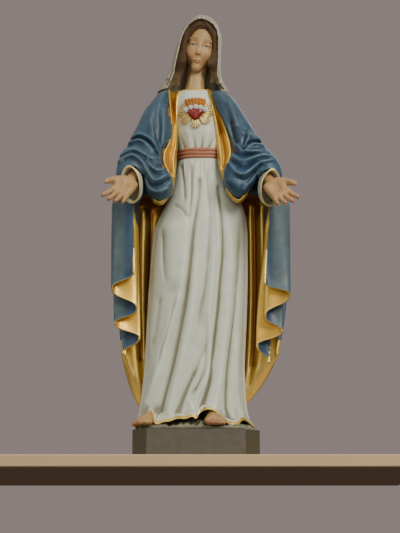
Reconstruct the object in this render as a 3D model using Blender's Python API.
"""A standing madonna statue in carved, painted and gilded limewood, as the blocks it is assembled from.

Metres, +Z up. The origin is the centre of the felt under the plinth, and the figure faces -Y.
"right" and "left" are the figure's own, so the right hand is at -X.
"""

import math

import bmesh
import bpy
import numpy as np
from mathutils import Matrix, Vector

# Driving dimensions
GLUE_GAP = 0.0004
PLINTH_WIDTH = 0.228
PLINTH_DEPTH = 0.170
PLINTH_TOP = 0.050
PLINTH_CHAMFER = 0.026
FELT_THICKNESS = 0.002
GROUND_TOP = 0.056
WAIST = 0.568
SASH_HEIGHT = 0.021
SASH_THICKNESS = 0.004
NECK_SEAT = 0.694
SHOULDER_TOP = 0.700
VEIL_HEM = 0.702
VEIL_TOP = 0.850
BACK_PLANE = 0.005
MANTLE_WALL = 0.010
MANTLE_TOP = 0.7005
SIDE_FALL_TOP = 0.515
SIDE_FALL_WALL = 0.007

# Gown below the sash: height, right edge, left edge, front, back
SKIRT = (
    (GROUND_TOP + 0.0003, -0.110, 0.101, -0.079, 0.066),
    (0.070, -0.107, 0.096, -0.077, 0.066),
    (0.085, -0.103, 0.091, -0.075, 0.066),
    (0.110, -0.099, 0.088, -0.072, 0.066),
    (0.165, -0.094, 0.086, -0.069, 0.065),
    (0.200, -0.092, 0.088, -0.067, 0.064),
    (0.250, -0.090, 0.090, -0.066, 0.063),
    (0.300, -0.087, 0.092, -0.066, 0.062),
    (0.340, -0.084, 0.093, -0.065, 0.060),
    (0.385, -0.081, 0.093, -0.063, 0.059),
    (0.425, -0.077, 0.093, -0.061, 0.056),
    (0.452, -0.066, 0.091, -0.058, 0.053),
    (0.485, -0.052, 0.082, -0.053, 0.050),
    (0.515, -0.044, 0.068, -0.047, 0.043),
    (0.545, -0.038, 0.056, -0.042, 0.034),
    (0.5515, -0.034, 0.053, -0.040, 0.030),
    (WAIST - 0.0002, -0.034, 0.053, -0.040, 0.030),
)

# Gown above the sash: height, right edge, left edge, front, back
BODICE = (
    (WAIST + 0.0002, -0.034, 0.053, -0.040, 0.030),
    (0.5785, -0.034, 0.053, -0.040, 0.030),
    (0.585, -0.036, 0.053, -0.044, 0.032),
    (0.610, -0.041, 0.052, -0.049, 0.036),
    (0.640, -0.045, 0.051, -0.050, 0.040),
    (0.668, -0.043, 0.045, -0.046, 0.040),
    (NECK_SEAT, -0.032, 0.028, -0.036, 0.030),
)

# Mantle behind the figure: height, right edge, left edge, back
MANTLE_BACK = (
    (0.080, -0.132, 0.146, 0.074),
    (0.109, -0.134, 0.148, 0.078),
    (0.137, -0.1355, 0.1495, 0.082),
    (0.165, -0.137, 0.151, 0.085),
    (0.198, -0.139, 0.153, 0.088),
    (0.249, -0.143, 0.163, 0.091),
    (0.333, -0.151, 0.174, 0.093),
    (0.410, -0.154, 0.175, 0.094),
    (0.477, -0.152, 0.171, 0.094),
    (0.535, -0.142, 0.150, 0.091),
    (0.568, -0.131, 0.124, 0.088),
    (0.604, -0.116, 0.104, 0.083),
    (0.633, -0.100, 0.090, 0.078),
    (0.682, -0.084, 0.064, 0.063),
    (MANTLE_TOP, -0.072, 0.052, 0.052),
)

# Mantle over each arm: height, outer edge, inner edge, front, back
SLEEVES = {
    "right": (
        (0.4675, -0.074, -0.052, -0.090, -0.064),
        (0.480, -0.088, -0.043, -0.096, -0.058),
        (0.501, -0.128, -0.038, -0.100, -0.045),
        (0.520, -0.140, -0.043, -0.100, -0.012),
        (0.537, -0.142, -0.056, -0.094, BACK_PLANE - GLUE_GAP),
        (0.558, -0.136, -0.062, -0.086, BACK_PLANE - GLUE_GAP),
        (0.577, -0.127, -0.054, -0.078, BACK_PLANE - GLUE_GAP),
        (0.604, -0.116, -0.041, -0.070, BACK_PLANE - GLUE_GAP),
        (0.643, -0.097, -0.043, -0.062, BACK_PLANE - GLUE_GAP),
        (0.682, -0.084, -0.049, -0.046, BACK_PLANE - GLUE_GAP),
        (SHOULDER_TOP, -0.072, -0.050, -0.030, BACK_PLANE - GLUE_GAP),
    ),
    "left": (
        (0.458, 0.096, 0.072, -0.090, -0.064),
        (0.472, 0.108, 0.059, -0.096, -0.058),
        (0.494, 0.146, 0.054, -0.100, -0.045),
        (0.512, 0.158, 0.058, -0.100, -0.012),
        (0.533, 0.155, 0.065, -0.094, BACK_PLANE - GLUE_GAP),
        (0.558, 0.138, 0.071, -0.086, BACK_PLANE - GLUE_GAP),
        (0.590, 0.118, 0.069, -0.075, BACK_PLANE - GLUE_GAP),
        (0.623, 0.099, 0.058, -0.066, BACK_PLANE - GLUE_GAP),
        (0.658, 0.081, 0.044, -0.058, BACK_PLANE - GLUE_GAP),
        (0.682, 0.067, 0.037, -0.046, BACK_PLANE - GLUE_GAP),
        (SHOULDER_TOP, 0.056, 0.038, -0.030, BACK_PLANE - GLUE_GAP),
    ),
}

# Gilded lining turned out beside the breast: height, edge by the sleeve, edge on the gown
LAPELS = {
    "right": (
        (0.503, -0.0400, -0.0385),
        (0.520, -0.0435, -0.0375),
        (0.537, -0.055, -0.0370),
        (0.558, -0.061, -0.0360),
        (0.577, -0.0535, -0.0347),
        (0.604, -0.0415, -0.0340),
        (0.620, -0.0415, -0.0340),
        (0.662, -0.0445, -0.0345),
        (0.690, -0.0485, -0.0315),
    ),
    "left": (
        (0.500, 0.054, 0.0520),
        (0.520, 0.0595, 0.0465),
        (0.534, 0.0645, 0.0425),
        (0.558, 0.0705, 0.0400),
        (0.590, 0.0685, 0.0380),
        (0.623, 0.0575, 0.0340),
        (0.658, 0.0435, 0.0305),
        (0.690, 0.0345, 0.0220),
    ),
}

# Side fall of the mantle: height, outer edge, front edge
SIDE_FALLS = {
    "right": (
        (0.190, -0.127, -0.098),
        (0.249, -0.141, -0.098),
        (0.335, -0.151, -0.099),
        (0.371, -0.153, -0.101),
        (0.418, -0.154, -0.107),
        (0.472, -0.152, -0.113),
        (SIDE_FALL_TOP, -0.146, -0.118),
    ),
    "left": (
        (0.180, 0.147, 0.118),
        (0.249, 0.169, 0.125),
        (0.310, 0.177, 0.130),
        (0.343, 0.178, 0.134),
        (0.399, 0.176, 0.143),
        (0.472, 0.172, 0.150),
        (SIDE_FALL_TOP, 0.166, 0.148),
    ),
}
# Hem heights of the side fall, from its joint with the back to its front edge
SIDE_FALL_HEMS = {
    "right": (0.196, 0.224, 0.224, 0.246, 0.272, 0.307, 0.318, 0.337),
    "left": (0.180, 0.206, 0.211, 0.233, 0.248, 0.261, 0.298, 0.315),
}
SIDE_FALL_FRONT = -0.050

# Veil: height, right edge, left edge, front, back
VEIL = (
    (VEIL_HEM, -0.0735, 0.0600, -0.030, 0.052),
    (0.718, -0.0625, 0.0530, -0.034, 0.050),
    (0.732, -0.0545, 0.0475, -0.038, 0.049),
    (0.748, -0.0480, 0.0460, -0.042, 0.048),
    (0.775, -0.0415, 0.0470, -0.048, 0.048),
    (0.798, -0.0335, 0.0482, -0.051, 0.047),
    (0.822, -0.0245, 0.0440, -0.048, 0.041),
    (0.836, -0.0150, 0.0350, -0.036, 0.029),
    (0.845, -0.0050, 0.0265, -0.018, 0.014),
    (VEIL_TOP, 0.0050, 0.0170, -0.006, 0.002),
)
VEIL_WALL = 0.0045

HEAD_CENTRE = Vector((0.0080, -0.003, 0.787))
HEAD_TILT = math.radians(10)
HEAD_NOD = math.radians(7)
HEAD_TURN = math.radians(-3)
# Head in its own frame: height, half width, front, back
HEAD = (
    (-0.0550, 0.0085, -0.0340, -0.0190),
    (-0.0510, 0.0145, -0.0370, 0.0000),
    (-0.0435, 0.0190, -0.0380, 0.0130),
    (-0.0320, 0.0233, -0.0380, 0.0245),
    (-0.0170, 0.0266, -0.0370, 0.0315),
    (0.0020, 0.0280, -0.0352, 0.0352),
    (0.0190, 0.0275, -0.0352, 0.0352),
    (0.0323, 0.0250, -0.0315, 0.0315),
    (0.0428, 0.0190, -0.0210, 0.0230),
    (0.0485, 0.0095, -0.0085, 0.0105),
)
NECK_RADIUS = 0.0185

# Hair: centres and radii of each lock from the parting to the shoulder
LOCKS = {
    "right": (
        ((0.0100, -0.033, 0.8230), 0.0040),
        ((-0.0040, -0.034, 0.8170), 0.0062),
        ((-0.0165, -0.029, 0.8060), 0.0068),
        ((-0.0240, -0.024, 0.7900), 0.0065),
        ((-0.0285, -0.021, 0.7710), 0.0065),
        ((-0.0305, -0.020, 0.7500), 0.0075),
        ((-0.0335, -0.022, 0.7320), 0.0085),
        ((-0.0390, -0.025, 0.7160), 0.0090),
        ((-0.0440, -0.028, 0.7080), 0.0065),
    ),
    "left": (
        ((0.0140, -0.033, 0.8230), 0.0040),
        ((0.0250, -0.032, 0.8160), 0.0062),
        ((0.0335, -0.027, 0.8050), 0.0062),
        ((0.0370, -0.023, 0.7890), 0.0058),
        ((0.0370, -0.021, 0.7710), 0.0058),
        ((0.0355, -0.020, 0.7500), 0.0068),
        ((0.0335, -0.022, 0.7320), 0.0075),
        ((0.0340, -0.025, 0.7170), 0.0078),
        ((0.0350, -0.028, 0.7090), 0.0060),
    ),
}

# Arms: where each wrist is, which way the hand points and on which side of it the thumb is
WRISTS = {"right": Vector((-0.1190, -0.102, 0.500)), "left": Vector((0.1350, -0.102, 0.496))}
HAND_AIM = {"right": Vector((-0.40, -0.62, -0.68)), "left": Vector((0.40, -0.62, -0.68))}
THUMB_SIDE = {"right": Vector((-0.72, 0.20, 0.60)), "left": Vector((0.72, 0.20, 0.60))}
CUFF_AXIS = {"right": Vector((-0.30, -0.92, -0.26)), "left": Vector((0.30, -0.92, -0.26))}
CUFF_CENTRE = {"right": Vector((-0.1125, -0.082, 0.496)), "left": Vector((0.1285, -0.082, 0.490))}
CUFF_HALF_WIDTH = 0.019
CUFF_HALF_HEIGHT = 0.034
CUFF_LENGTH = 0.025
WRIST_RADIUS = 0.0098
PALM = (  # the hand's block: distance from the wrist, offset to the thumb, half width, half thickness
    (-0.016, 0.000, WRIST_RADIUS * 0.95, WRIST_RADIUS * 0.85),
    (0.004, 0.000, WRIST_RADIUS, WRIST_RADIUS * 0.85),
    (0.018, 0.001, 0.0150, 0.0095),
    (0.032, 0.001, 0.0180, 0.0085),
    (0.045, 0.000, 0.0185, 0.0075),
    (0.049, 0.000, 0.0160, 0.0050),
)

FEET = {
    "right": (Vector((-0.062, -0.030, GROUND_TOP)), math.radians(-32)),
    "left": (Vector((0.036, -0.036, GROUND_TOP)), math.radians(4)),
}

EMBLEM_CENTRE = Vector((-0.0015, -0.0508, 0.643))
RAY_CLUSTERS = 7
RAYS_PER_CLUSTER = 5
RAY_REACH = 0.0315
RAY_ROOT = 0.012
HEART_HALF_WIDTH = 0.016
HEART_POINT = 0.0130
HEART_DROP = 0.0050
ROSES = 5
ROSE_RADIUS = 0.0040

SCREW_X = 0.045
SCREW_Y = 0.030
SCREW_RADIUS = 0.0025
SCREW_LENGTH = 0.085
SCREW_HEAD_RADIUS = 0.0055
SCREW_HEAD_HEIGHT = 0.004
SCREW_PROFILE = (  # share of the length, radius
    (0, SCREW_HEAD_RADIUS),
    (0.045, SCREW_HEAD_RADIUS),
    (0.0451, SCREW_RADIUS),
    (0.92, SCREW_RADIUS),
    (1, 0.0008),
)
COUNTERBORE_DEPTH = 0.012
BORE_CLEARANCE = 0.0003
DOWEL_SIDES = 12
DOWEL_RADIUS = 0.005

PAINTS = {
    "ivory": ((0.60, 0.58, 0.49), 0.50, 0.0),
    "blue": ((0.055, 0.120, 0.185), 0.48, 0.0),
    "gold": ((0.80, 0.53, 0.16), 0.30, 1.0),
    "skin": ((0.62, 0.40, 0.24), 0.45, 0.0),
    "hair": ((0.09, 0.055, 0.03), 0.50, 0.0),
    "veil": ((0.50, 0.47, 0.36), 0.52, 0.0),
    "sash": ((0.48, 0.20, 0.12), 0.50, 0.0),
    "red": ((0.36, 0.03, 0.02), 0.35, 0.0),
    "white": ((0.72, 0.72, 0.66), 0.45, 0.0),
    "flame": ((0.75, 0.28, 0.03), 0.38, 0.0),
    "plinth": ((0.13, 0.10, 0.065), 0.45, 0.0),
    "ground": ((0.17, 0.155, 0.09), 0.60, 0.0),
    "beech": ((0.55, 0.36, 0.18), 0.60, 0.0),
    "steel": ((0.55, 0.55, 0.57), 0.35, 1.0),
    "felt": ((0.03, 0.10, 0.05), 0.95, 0.0),
}


def clear_scene():
    for obj in list(bpy.data.objects):
        bpy.data.objects.remove(obj)


def paint(name):
    """The material of that name, made once."""
    if name in bpy.data.materials:
        return bpy.data.materials[name]
    colour, roughness, metallic = PAINTS[name]
    material = bpy.data.materials.new(name)
    material.use_nodes = True
    shader = material.node_tree.nodes["Principled BSDF"]
    shader.inputs["Base Color"].default_value = (*colour, 1.0)
    shader.inputs["Roughness"].default_value = roughness
    shader.inputs["Metallic"].default_value = metallic
    return material


def solid(name, build, paint_name):
    """A new object whose mesh is what build adds to an empty bmesh."""
    bm = bmesh.new()
    build(bm)
    bmesh.ops.recalc_face_normals(bm, faces=bm.faces)
    mesh = bpy.data.meshes.new(name)
    bm.to_mesh(mesh)
    bm.free()
    mesh.shade_smooth()
    mesh.set_sharp_from_angle(angle=math.radians(40))
    mesh.materials.append(paint(paint_name))
    obj = bpy.data.objects.new(name, mesh)
    bpy.context.scene.collection.objects.link(obj)
    return obj


def add_loft(bm, rings):
    """Skins rings of equal length and caps the first and the last one."""
    rows = [[bm.verts.new(point) for point in ring] for ring in rings]
    count = len(rows[0])
    for low, high in zip(rows, rows[1:]):
        for i in range(count):
            j = (i + 1) % count
            bm.faces.new((low[i], low[j], high[j], high[i]))
    bm.faces.new(list(reversed(rows[0])))
    bm.faces.new(rows[-1])


def loft(name, rings, paint_name):
    return solid(name, lambda bm: add_loft(bm, rings), paint_name)


def read(table, height):
    """The row of a table at a height, between its two nearest rows."""
    rows = np.array(table)
    return [float(np.interp(height, rows[:, 0], rows[:, i])) for i in range(1, rows.shape[1])]


def oval(centre, half_x, half_y, height, count, power=2.2):
    """A superellipse ring in a horizontal plane, starting at +X and turning towards +Y."""
    ring = []
    for i in range(count):
        turn = 2 * math.pi * i / count
        c, s = math.cos(turn), math.sin(turn)
        x = math.copysign(abs(c) ** (2 / power), c) * half_x
        y = math.copysign(abs(s) ** (2 / power), s) * half_y
        ring.append(Vector((centre[0] + x, centre[1] + y, height)))
    return ring


def table_oval(row, count, grow=0.0, power=2.2):
    """The ring of a table row of height, right, left, front and back."""
    height, right, left, front, back = row
    centre = ((right + left) / 2, (front + back) / 2)
    return oval(centre, (left - right) / 2 + grow, (back - front) / 2 + grow, height, count, power)


def hide(obj):
    """Marks an object as a helper, which isn't a piece of the statue."""
    obj.hide_render = True
    obj.display_type = "WIRE"
    return obj


def cut(obj, tool, operation="DIFFERENCE"):
    modifier = obj.modifiers.new(operation.lower() + "_" + tool.name, "BOOLEAN")
    modifier.operation = operation
    modifier.object = tool
    modifier.solver = "EXACT"
    hide(tool)
    return obj


def grown(obj, gap=GLUE_GAP):
    """A helper copy of an object's base mesh, moved out along its normals by a glue gap."""
    mesh = obj.data.copy()
    bm = bmesh.new()
    bm.from_mesh(mesh)
    for vert in bm.verts:
        sharpness = max(vert.calc_shell_factor(), 1.0)
        vert.co += vert.normal * gap * min(sharpness, 2.0)
    bm.to_mesh(mesh)
    bm.free()
    helper = bpy.data.objects.new(obj.name + "_clearance", mesh)
    bpy.context.scene.collection.objects.link(helper)
    return hide(helper)


def rod_rings(start, end, radii, sides):
    """Rings round a straight rod, with (share of the length, radius) pairs."""
    start, end = Vector(start), Vector(end)
    axis = (end - start).normalized()
    side = axis.orthogonal().normalized()
    up = axis.cross(side)
    rings = []
    for share, radius in radii:
        middle = start.lerp(end, share)
        ring = []
        for i in range(sides):
            turn = 2 * math.pi * i / sides
            ring.append(middle + side * math.cos(turn) * radius + up * math.sin(turn) * radius)
        rings.append(ring)
    return rings


def rod(name, start, end, radius, paint_name, sides=DOWEL_SIDES):
    return loft(name, rod_rings(start, end, ((0, radius), (1, radius)), sides), paint_name)


def bore(obj, start, end, radius):
    """Drills a round hole for a rod of that radius."""
    drill = rod(obj.name + "_drill", start, end, radius + BORE_CLEARANCE, "beech")
    return cut(obj, hide(drill))


def tube_rings(stations, sides, squash=1.0):
    """Rings square to a bent path of (point, radius) stations; squash flattens them along Y."""
    points = [Vector(point) for point, radius in stations]
    rings = []
    for i, (point, radius) in enumerate(stations):
        ahead = points[min(i + 1, len(points) - 1)] - points[max(i - 1, 0)]
        axis = ahead.normalized()
        side = axis.cross(Vector((0, 1, 0))).normalized()
        up = side.cross(axis).normalized()
        ring = []
        for k in range(sides):
            turn = 2 * math.pi * k / sides
            ring.append(points[i] + side * math.cos(turn) * radius + up * math.sin(turn) * radius * squash)
        rings.append(ring)
    return rings


def octagon(half_x, half_y, chamfer, height):
    """A rectangle with its corners cut at 45 degrees."""
    corners = (
        (half_x, -half_y + chamfer),
        (half_x, half_y - chamfer),
        (half_x - chamfer, half_y),
        (-half_x + chamfer, half_y),
        (-half_x, half_y - chamfer),
        (-half_x, -half_y + chamfer),
        (-half_x + chamfer, -half_y),
        (half_x - chamfer, -half_y),
    )
    return [Vector((x, y, height)) for x, y in corners]


def screw_places():
    return [(x, y) for y in (-SCREW_Y, SCREW_Y) for x in (-SCREW_X, SCREW_X)]


def make_base():
    """Felt, plinth and carved ground, with four screws up into the gown block."""
    half_x, half_y = PLINTH_WIDTH / 2, PLINTH_DEPTH / 2
    inset = 0.0015
    felt_rings = [
        octagon(half_x - inset, half_y - inset, PLINTH_CHAMFER, height) for height in (0, FELT_THICKNESS)
    ]
    loft("base_felt", felt_rings, "felt")
    underside = FELT_THICKNESS + GLUE_GAP
    bevel = 0.0015
    plinth_rings = [
        octagon(half_x, half_y, PLINTH_CHAMFER, underside),
        octagon(half_x, half_y, PLINTH_CHAMFER, PLINTH_TOP - bevel),
        octagon(half_x - bevel, half_y - bevel, PLINTH_CHAMFER, PLINTH_TOP),
    ]
    plinth = loft("plinth", plinth_rings, "plinth")
    ground_foot = PLINTH_TOP + GLUE_GAP
    ground_rings = [
        oval((0, 0), 0.106, 0.078, ground_foot, 28, 3.2),
        oval((0, 0), 0.106, 0.078, ground_foot + 0.0015, 28, 3.2),
        oval((0, 0), 0.100, 0.074, GROUND_TOP, 28, 3.2),
    ]
    ground = loft("carved_ground", ground_rings, "ground")
    shank_top = underside + COUNTERBORE_DEPTH + SCREW_LENGTH
    screws = []
    for number, (x, y) in enumerate(screw_places(), 1):
        head = underside + COUNTERBORE_DEPTH - SCREW_HEAD_HEIGHT
        rings = rod_rings((x, y, head), (x, y, shank_top), SCREW_PROFILE, DOWEL_SIDES)
        screws.append(loft(f"plinth_screw_{number}", rings, "steel"))
        counterbore_top = underside + COUNTERBORE_DEPTH + BORE_CLEARANCE
        bore(plinth, (x, y, 0), (x, y, counterbore_top), SCREW_HEAD_RADIUS)
        bore(plinth, (x, y, counterbore_top - 0.001), (x, y, PLINTH_TOP + 0.01), SCREW_RADIUS)
        bore(ground, (x, y, PLINTH_TOP - 0.01), (x, y, GROUND_TOP + 0.01), SCREW_RADIUS)
    return shank_top


def skirt_ring(row, count=40):
    """A gown ring with shallow upright folds round its front."""
    ring = table_oval(row, count)
    height, right, left, front, back = row
    centre = Vector(((right + left) / 2, (front + back) / 2, height))
    low, high = SKIRT[0][0], 0.52
    share = min(1.0, (high - height) / (high - low) + 0.25) if height < high else 0.0
    depth = 0.0028 * share
    for i, point in enumerate(ring):
        turn = 2 * math.pi * i / count
        facing_front = max(0.0, -math.sin(turn))
        out = (point - centre).normalized()
        ring[i] = point + out * depth * facing_front * math.cos(10 * turn)
    return ring


def make_foot(name, heel, turn):
    """A bare foot from the instep to the toes, lying on the ground."""
    stations = (  # along the foot, half width, height
        (0.000, 0.014, 0.034),
        (0.018, 0.016, 0.030),
        (0.036, 0.0185, 0.023),
        (0.052, 0.0175, 0.015),
        (0.062, 0.013, 0.011),
    )
    sole = 0.0003
    frame = Matrix.Translation(heel) @ Matrix.Rotation(turn, 4, "Z")
    rings = []
    for along, half, tall in stations:
        ring = []
        for i in range(10):
            angle = 2 * math.pi * i / 10
            x = half * math.cos(angle)
            z = tall / 2 + tall / 2 * math.sin(angle)
            ring.append(frame @ Vector((x, -along, sole + max(z, 0.06 * tall))))
        rings.append(ring)
    return loft(name, rings, "skin")


def make_gown(shank_top):
    """Skirt block, bodice block and the sash that hides their joint, with a dowel down the middle."""
    skirt = loft("gown_skirt", [skirt_ring(row) for row in SKIRT], "ivory")
    bodice = loft("gown_bodice", [table_oval(row, 32) for row in BODICE], "ivory")
    low, high = WAIST - SASH_HEIGHT / 2, WAIST + SASH_HEIGHT / 2
    waist = BODICE[0]

    def sash_ring(height, grow):
        return table_oval((height, *waist[1:]), 32, grow)

    belly = SASH_THICKNESS
    sash = loft(
        "sash",
        [
            sash_ring(low, belly * 0.7),
            sash_ring(low + 0.004, belly),
            sash_ring(high - 0.004, belly),
            sash_ring(high, belly * 0.7),
        ],
        "sash",
    )
    hole = loft("sash_hole", [sash_ring(low - 0.01, GLUE_GAP), sash_ring(high + 0.01, GLUE_GAP)], "sash")
    cut(sash, hide(hole))
    for name, (heel, turn) in FEET.items():
        foot = make_foot(f"{name}_foot", heel, turn)
        cut(skirt, grown(foot, 0.0008))
    for x, y in screw_places():
        bore(skirt, (x, y, GROUND_TOP - 0.01), (x, y, shank_top + BORE_CLEARANCE), SCREW_RADIUS)
    middle = (waist[1] + waist[2]) / 2, (waist[3] + waist[4]) / 2
    dowel_half, dowel_radius = 0.045, 0.008
    low_end, high_end = (*middle, WAIST - dowel_half), (*middle, WAIST + dowel_half)
    rod("waist_dowel", low_end, high_end, dowel_radius, "beech")
    reach = dowel_half + 0.001
    for block in (skirt, bodice):
        bore(block, (*middle, WAIST - reach), (*middle, WAIST + reach), dowel_radius)
    return skirt, bodice, sash


def back_hem(turn):
    """Hem height of the mantle's back, from a low middle up to its joints with the side falls."""
    side = math.cos(turn)
    return 0.082 + 0.112 * abs(side) ** (3 if side > 0 else 8)


def make_mantle_back(body_pieces):
    """The mantle's back panel: a curved wall round the skirt, solid behind the shoulders."""
    levels = [0.0, 0.11, 0.15, 0.20, 0.26, 0.33, 0.41, 0.465, 0.485]
    levels += [0.535, 0.58, 0.62, 0.66, 0.685, MANTLE_TOP]
    count = 28
    rings = []
    for step, level in enumerate(levels):
        outer, inner = [], []
        for i in range(count + 1):
            turn = math.pi * i / count
            height = max(level, back_hem(turn) + 0.003 * step)
            right, left, back = read(MANTLE_BACK, height)
            flute = 1 + 0.028 * math.cos(9 * turn) * math.sin(turn) ** 2
            middle, half = (right + left) / 2, (left - right) / 2
            depth = back - BACK_PLANE
            x = middle + half * math.cos(turn)
            outer.append(Vector((x, BACK_PLANE + depth * math.sin(turn) * flute, height)))
            shoulder = min(max((height - 0.465) / 0.02, 0.0), 1.0)
            inner_half = (half - MANTLE_WALL) * (1 - shoulder) + 0.030 * shoulder
            inner_middle = middle * (1 - shoulder) + 0.004 * shoulder
            gown_back = read(SKIRT, min(height, 0.5))[3] + GLUE_GAP
            inner_depth = (gown_back - BACK_PLANE) * (1 - shoulder) + 0.012 * shoulder
            x = inner_middle + inner_half * math.cos(turn)
            inner.append(Vector((x, BACK_PLANE + inner_depth * math.sin(turn), height)))
        rings.append(outer + list(reversed(inner)))
    panel = loft("mantle_back", rings, "blue")
    for piece in body_pieces:
        cut(panel, grown(piece))
    return panel


def sleeve_ring(row, count=14):
    """A rounded oblong between the outer and inner edges of a sleeve."""
    height, outer, inner, front, back = row
    low, high = min(outer, inner), max(outer, inner)
    centre = ((low + high) / 2, (front + back) / 2)
    return oval(centre, (high - low) / 2, (back - front) / 2, height, count, 2.8)


def make_cuff(side):
    """The gown's cuff: a flattened tube whose mouth hangs open below the wrist."""
    axis = CUFF_AXIS[side].normalized()
    across = axis.cross(Vector((0, 0, 1))).normalized()
    up = across.cross(axis).normalized()

    def ring(along, scale, count=20):
        centre = CUFF_CENTRE[side] + axis * along
        points = []
        for i in range(count):
            turn = 2 * math.pi * i / count
            x = across * math.cos(turn) * CUFF_HALF_WIDTH * scale
            z = up * math.sin(turn) * CUFF_HALF_HEIGHT * scale
            points.append(centre + x + z)
        return points

    outside = [ring(0, 0.88), ring(CUFF_LENGTH * 0.5, 0.95), ring(CUFF_LENGTH, 1.0)]
    inside = [ring(CUFF_LENGTH * 0.35, 0.70), ring(CUFF_LENGTH * 1.5, 0.86)]
    cuff = loft(f"{side}_cuff", outside, "ivory")
    mouth = loft(f"{side}_cuff_mouth", inside, "ivory")
    return cuff, hide(mouth)


def hand_frame(side):
    """The hand's own frame at the wrist: X to the fingertips, Y to the thumb, Z out of the palm."""
    x = HAND_AIM[side].normalized()
    thumb = THUMB_SIDE[side]
    y = (thumb - x * thumb.dot(x)).normalized()
    z = x.cross(y) if side == "left" else y.cross(x)
    frame = Matrix((x, y, z)).transposed().to_4x4()
    frame.translation = WRISTS[side]
    return frame


def hand_rings(side, stations, sides=8):
    """Oval rings across the hand, from stations of a middle, a half width and a half thickness."""
    frame = hand_frame(side)
    rings = []
    for (x, y, z), half_y, half_z in stations:
        ring = []
        for i in range(sides):
            turn = 2 * math.pi * (i + 0.5) / sides
            ring.append(frame @ Vector((x, y + half_y * math.cos(turn), z + half_z * math.sin(turn))))
        rings.append(ring)
    return rings


def palm_rings(side, room=0.0):
    stations = [((x - room, y, 0.0), half_y + room, half_z + room) for x, y, half_y, half_z in PALM]
    return hand_rings(side, stations, 12)


def make_hand(side):
    """An open hand: wrist and palm in one block, with four fingers and a thumb joined on."""
    hand = loft(f"{side}_hand", palm_rings(side), "skin")
    fingers = (  # root across the palm, length, spread, curl towards the palm
        (0.0142, 0.035, 0.006, 0.006),
        (0.0048, 0.039, 0.002, 0.007),
        (-0.0048, 0.036, -0.001, 0.008),
        (-0.0136, 0.029, -0.004, 0.009),
    )
    thickness = 0.0048
    for number, (root, length, spread, curl) in enumerate(fingers):
        stations = []
        for share, width in ((-0.2, 1.0), (0.0, 1.0), (0.35, 0.98), (0.7, 0.85), (0.94, 0.66), (1.0, 0.35)):
            x = 0.044 + length * share
            y = root + spread * max(share, 0)
            z = curl * max(share, 0) ** 2
            stations.append(((x, y, z), thickness * width, thickness * width * 0.92))
        finger = loft(f"{side}_finger_{number}", hand_rings(side, stations), "skin")
        cut(hand, finger, "UNION")
    thumb = (
        ((0.011, 0.008, 0.003), 0.0050, 0.0050),
        ((0.021, 0.018, 0.005), 0.0070, 0.0065),
        ((0.032, 0.025, 0.007), 0.0060, 0.0055),
        ((0.043, 0.028, 0.010), 0.0052, 0.0048),
        ((0.050, 0.0295, 0.012), 0.0025, 0.0025),
    )
    cut(hand, loft(f"{side}_thumb", hand_rings(side, thumb), "skin"), "UNION")
    return hand


def make_arm(side, body_pieces):
    """Sleeve, cuff, hand and lapel of one side, with the dowel that carries the hand."""
    sleeve = loft(f"mantle_{side}_sleeve", [sleeve_ring(row) for row in SLEEVES[side]], "blue")
    cuff, mouth = make_cuff(side)
    hand = make_hand(side)
    aim = HAND_AIM[side].normalized()
    wrist = WRISTS[side]
    dowel_radius = 0.004
    inner_end, outer_end = wrist - aim * 0.046, wrist + aim * 0.012
    rod(f"{side}_hand_dowel", inner_end, outer_end, dowel_radius, "beech")
    for block in (sleeve, cuff, hand):
        bore(block, inner_end - aim * 0.0005, outer_end + aim * 0.0005, dowel_radius)
    cuff_clearance = grown(cuff, 0.0006)
    wrist_room = hide(loft(f"{side}_wrist_room", palm_rings(side, 0.0006), "skin"))
    cut(cuff, mouth)
    cut(cuff, wrist_room)
    for piece in body_pieces:
        cut(sleeve, grown(piece))
    cut(sleeve, cuff_clearance)
    cut(sleeve, wrist_room)
    return sleeve


def make_lapel(side, bodice, skirt, sash, sleeve):
    """The turned-out gilded lining: a tapered strip from the neck to below the waist."""
    inward = 1 if side == "right" else -1
    rings = []
    for height, by_sleeve, on_gown in LAPELS[side]:
        row = read(SLEEVES[side], height)
        front_edge = row[2] + 0.010
        gown_front = read(BODICE if height > WAIST else SKIRT, height)[2]
        outer = by_sleeve + inward * GLUE_GAP
        face = min(gown_front - 0.010, front_edge + 0.012)
        rings.append(
            [
                Vector((outer, front_edge, height)),
                Vector(((outer + on_gown) / 2, (front_edge + face) / 2 + 0.003, height)),
                Vector((on_gown, face, height)),
                Vector((on_gown, gown_front + 0.012, height)),
                Vector((outer, gown_front + 0.012, height)),
            ]
        )
    lapel = loft(f"{side}_lapel", rings, "gold")
    for piece in (bodice, skirt, sash, sleeve):
        cut(lapel, grown(piece))


def make_side_fall(side, sleeve):
    """The mantle's side fall: a wall curling from the back panel round to its front edge."""
    hems = SIDE_FALL_HEMS[side]
    steps = len(hems) - 1
    levels = 6
    rings = []
    for i, hem in enumerate(hems):
        turn = math.pi / 2 * i / steps
        ring_outer, ring_inner = [], []
        for k in range(levels):
            height = hem + (SIDE_FALL_TOP - hem) * k / (levels - 1)
            outer, front = read(SIDE_FALLS[side], height)
            reach = abs(outer - front)
            sign = -1 if outer < front else 1
            start = BACK_PLANE - GLUE_GAP
            deep = start - SIDE_FALL_FRONT
            x = front + sign * reach * math.cos(turn)
            ring_outer.append(Vector((x, start - deep * math.sin(turn), height)))
            x = front + sign * (reach - SIDE_FALL_WALL) * math.cos(turn)
            ring_inner.append(Vector((x, start - (deep - SIDE_FALL_WALL) * math.sin(turn), height)))
        rings.append(ring_outer + list(reversed(ring_inner)))
    fall = loft(f"mantle_{side}_fall", rings, "blue")
    cut(fall, grown(sleeve, 0.0008))


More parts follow.
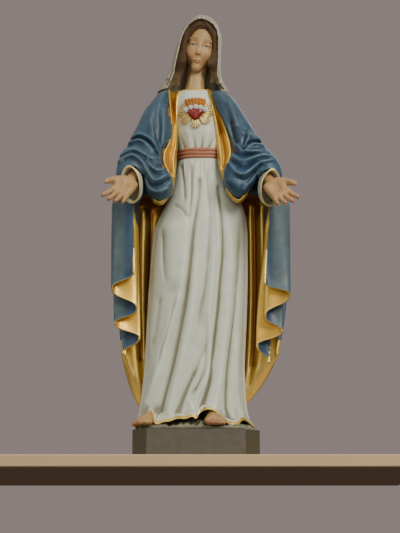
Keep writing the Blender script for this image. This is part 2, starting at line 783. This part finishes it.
def head_frame():
    turn = Matrix.Rotation(HEAD_TURN, 4, "Z")
    nod = Matrix.Rotation(HEAD_NOD, 4, "X")
    tilt = Matrix.Rotation(HEAD_TILT, 4, "Y")
    return Matrix.Translation(HEAD_CENTRE) @ tilt @ turn @ nod


def make_head():
    """Head and neck in one block: an egg with a plain nose, on a round neck."""
    frame = head_frame()
    rings = []
    nose = {-0.0170: 0.0075, 0.0020: 0.0030}
    for height, half, front, back in HEAD:
        ring = oval((0, (front + back) / 2), half, (back - front) / 2, height, 20, 2.15)
        tip = len(ring) * 3 // 4
        ring[tip].y -= nose.get(height, 0.0)
        rings.append([frame @ point for point in ring])
    head = loft("head", rings, "skin")
    top = HEAD_CENTRE + Vector((-0.004, 0.006, -0.030))
    seat = Vector((-0.002, 0.000, NECK_SEAT + GLUE_GAP))
    neck = loft(
        "neck",
        rod_rings(seat, top, ((0, NECK_RADIUS * 1.12), (0.2, NECK_RADIUS), (1, NECK_RADIUS)), 18),
        "skin",
    )
    # the first ring lies flat on the bodice
    for vert in neck.data.vertices[:18]:
        vert.co.z = seat.z
    cut(head, neck, "UNION")
    return head, seat


def veil_hollow(name, room):
    """A helper that fills the inside of the veil, less some room all round."""
    rows = [(VEIL_HEM - 0.01, *VEIL[0][1:])] + [row for row in VEIL if row[0] < VEIL_TOP - 0.003]
    wall = VEIL_WALL + room
    rings = [table_oval(row, 28, -wall) for row in rows[:-1]]
    top = rows[-1]
    rings.append(table_oval((top[0] - 0.0015 - room, *top[1:]), 28, -0.006 - room))
    return hide(loft(name, rings, "veil"))


def veil_opening(name, room):
    """A helper that fills the veil's opening round the face, less some room."""
    outline = (  # half width and middle of the opening at each height
        (VEIL_HEM - 0.01, 0.0580, 0.0010),
        (0.714, 0.0430, -0.0030),
        (0.728, 0.0400, -0.0015),
        (0.746, 0.0392, 0.0002),
        (0.773, 0.0362, 0.0042),
        (0.797, 0.0345, 0.0067),
        (0.812, 0.0310, 0.0087),
        (0.822, 0.0220, 0.0090),
        (0.829, 0.0040, 0.0090),
    )
    edge, front = -0.014 - room, -0.12
    rings = []
    for height, half, middle in outline:
        low, high = middle - half + room, middle + half - room
        corners = ((low, front), (high, front), (high, edge), (low, edge))
        rings.append([Vector((x, y, height - room)) for x, y in corners])
    return hide(loft(name, rings, "veil"))


def make_veil():
    """The veil: a domed hood, hollow and cut open round the face."""
    veil = loft("veil", [table_oval(row, 28) for row in VEIL], "veil")
    cut(veil, veil_hollow("veil_inside", 0))
    cut(veil, veil_opening("veil_mouth", 0))
    return veil


def make_hair(side, head):
    """One side's lock of hair, from the parting to the shoulder, carved to fit head, neck and veil."""
    lock = loft(f"{side}_hair", tube_rings(LOCKS[side], 10, 0.9), "hair")
    cut(lock, grown(head, 0.0008))
    neck_radius = NECK_RADIUS + 0.002
    cut(lock, hide(rod(f"{side}_neck_room", (-0.002, 0, 0.69), (0.005, 0, 0.76), neck_radius, "hair", 18)))
    room = 2 * GLUE_GAP
    corners = ((-0.15, -0.10), (0.15, -0.10), (0.15, 0.12), (-0.15, 0.12))
    block_rings = [[Vector((x, y, z)) for x, y in corners] for z in (VEIL_HEM, VEIL_TOP + 0.01)]
    outside = loft(f"{side}_hair_limit", block_rings, "veil")
    cut(outside, veil_hollow(f"{side}_hair_room", room))
    cut(outside, veil_opening(f"{side}_hair_window", room))
    cut(lock, hide(outside))


def polygon_plate(name, outline, front, thickness, paint_name, bevel=0.0):
    """An upright plate: an outline of (x, z) pairs given in depth from front to front + thickness."""
    flat = [Vector((x, 0, z)) for x, z in outline]
    middle = sum(flat, Vector()) / len(flat)

    def ring(depth, inset):
        return [middle.lerp(point, 1 - inset) + Vector((0, depth, 0)) for point in flat]

    rings = [ring(front, bevel), ring(front + thickness * 0.4, 0), ring(front + thickness, 0)]
    if not bevel:
        rings = [rings[0], rings[-1]]
    return loft(name, rings, paint_name)


def glory_outline():
    """Seven fans of five short rays round a middle."""
    outline = []
    fan = 2 * math.pi / 9
    spread = fan * 0.84
    for cluster in range(RAY_CLUSTERS):
        middle = -math.pi / 2 + (cluster - (RAY_CLUSTERS - 1) / 2) * fan
        for ray in range(RAYS_PER_CLUSTER):
            share = (ray + 0.5) / RAYS_PER_CLUSTER - 0.5
            reach = RAY_REACH * (1 - 0.28 * abs(share) * 2)
            for offset, radius in ((-0.42, reach * 0.86), (0, reach), (0.42, reach * 0.86)):
                angle = middle + (share + offset / RAYS_PER_CLUSTER) * spread
                outline.append((math.cos(angle) * radius, math.sin(angle) * radius))
            if ray < RAYS_PER_CLUSTER - 1:
                angle = middle + (share + 0.5 / RAYS_PER_CLUSTER) * spread
                outline.append((math.cos(angle) * reach * 0.74, math.sin(angle) * reach * 0.74))
        if cluster < RAY_CLUSTERS - 1:
            angle = middle + fan / 2
            outline.append((math.cos(angle) * RAY_ROOT, math.sin(angle) * RAY_ROOT))
    outline.append((RAY_ROOT * 0.5, RAY_ROOT))
    outline.append((-RAY_ROOT * 0.5, RAY_ROOT))
    return [(EMBLEM_CENTRE.x + x, EMBLEM_CENTRE.z + z) for x, z in outline]


def heart_outline(count=28):
    """A broad heart from a sine formula, with its point down."""
    points = []
    for i in range(count):
        turn = 2 * math.pi * i / count
        x = math.sin(turn) ** 3 * HEART_HALF_WIDTH
        lobes = 13 * math.cos(turn) - 5 * math.cos(2 * turn) - 2 * math.cos(3 * turn) - math.cos(4 * turn)
        z = lobes / 17 * HEART_POINT - HEART_DROP
        points.append((EMBLEM_CENTRE.x + x, EMBLEM_CENTRE.z + z))
    return points


def flame_outline():
    """Seven tongues fanning up from a flat foot."""
    tongues = 7
    foot, low, high, half = 0.0130, 0.0175, 0.0280, 0.0195
    points = [(half * 0.75, foot)]
    for i in range(tongues):
        share = i / (tongues - 1) * 2 - 1
        lean = -share * half * 1.12
        tall = high - 0.006 * share**2
        points.append((lean + half * 0.11, low + 0.004 * (1 - share**2)))
        points.append((lean, tall))
    points.append((-half * 1.12 - half * 0.06, low - 0.001))
    points.append((-half * 0.75, foot))
    return [(EMBLEM_CENTRE.x + x, EMBLEM_CENTRE.z + z) for x, z in points]


def make_emblem(bodice):
    """Gilded glory, heart, five roses and flames, held to the breast by a pin."""
    back = EMBLEM_CENTRE.y - GLUE_GAP
    glory_front = back - 0.003
    glory = polygon_plate("glory_rays", glory_outline(), glory_front, 0.003, "gold")
    heart_back = glory_front - GLUE_GAP
    heart = polygon_plate("heart", heart_outline(), heart_back - 0.008, 0.008, "red", 0.35)
    rose_y = heart_back - 0.0085 - ROSE_RADIUS
    for number in range(ROSES):
        share = number / (ROSES - 1) * 2 - 1
        x = EMBLEM_CENTRE.x + share * (ROSES - 1) * (ROSE_RADIUS + 0.0002)
        z = EMBLEM_CENTRE.z + 0.0080 - 0.0040 * share**2

        def rose(bm, x=x, z=z):
            bmesh.ops.create_uvsphere(bm, u_segments=10, v_segments=7, radius=ROSE_RADIUS)
            bmesh.ops.transform(bm, matrix=Matrix.Translation((x, rose_y, z)), verts=bm.verts)

        solid(f"wreath_rose_{number + 1}", rose, "white")
    polygon_plate("flames", flame_outline(), heart_back - 0.006, 0.006, "flame")
    pin_radius, pin_front, pin_back = 0.0015, heart_back - 0.004, EMBLEM_CENTRE.y + 0.018
    start = (EMBLEM_CENTRE.x, pin_front, EMBLEM_CENTRE.z - 0.003)
    end = (EMBLEM_CENTRE.x, pin_back, EMBLEM_CENTRE.z - 0.003)
    rod("emblem_pin", start, end, pin_radius, "steel", 8)
    spare = Vector((0, 0.0005, 0))
    for block in (heart, glory, bodice):
        bore(block, Vector(start) - spare, Vector(end) + spare, pin_radius)


def join_blocks(first, second, name, start, end, radius):
    """A dowel through the joint between two blocks, in a drilled hole."""
    start, end = Vector(start), Vector(end)
    spare = (end - start).normalized() * 0.0005
    rod(name, start, end, radius, "beech")
    for block in (first, second):
        bore(block, start - spare, end + spare, radius)


def main():
    clear_scene()
    shank_top = make_base()
    skirt, bodice, sash = make_gown(shank_top)
    back = make_mantle_back((skirt, bodice, sash))
    sleeves = {side: make_arm(side, (bodice, skirt, sash)) for side in ("right", "left")}
    for side, sleeve in sleeves.items():
        make_lapel(side, bodice, skirt, sash, sleeve)
        make_side_fall(side, sleeve)
        sign = -1 if side == "right" else 1
        inner_end, outer_end = (0.005 + sign * 0.025, -0.012, 0.640), (sign * 0.078, -0.012, 0.640)
        join_blocks(sleeve, bodice, f"{side}_shoulder_dowel", inner_end, outer_end, DOWEL_RADIUS)
    upper = ((0.004, 0.012, 0.650), (0.004, 0.056, 0.650))
    lower = ((0.010, 0.030, 0.330), (0.010, 0.080, 0.330))
    join_blocks(back, bodice, "mantle_dowel_upper", *upper, DOWEL_RADIUS)
    join_blocks(back, skirt, "mantle_dowel_lower", *lower, DOWEL_RADIUS)
    head, seat = make_head()
    neck_room = (seat - Vector((0, 0, 0.02)), seat + Vector((0, 0, 0.02)))
    cut(back, hide(rod("neck_room", *neck_room, NECK_RADIUS * 1.12 + 0.001, "skin", 24)))
    join_blocks(head, bodice, "neck_dowel", seat - Vector((0, 0, 0.03)), seat + Vector((0, 0, 0.03)), 0.006)
    make_veil()
    for side in ("right", "left"):
        make_hair(side, head)
    make_emblem(bodice)


main()
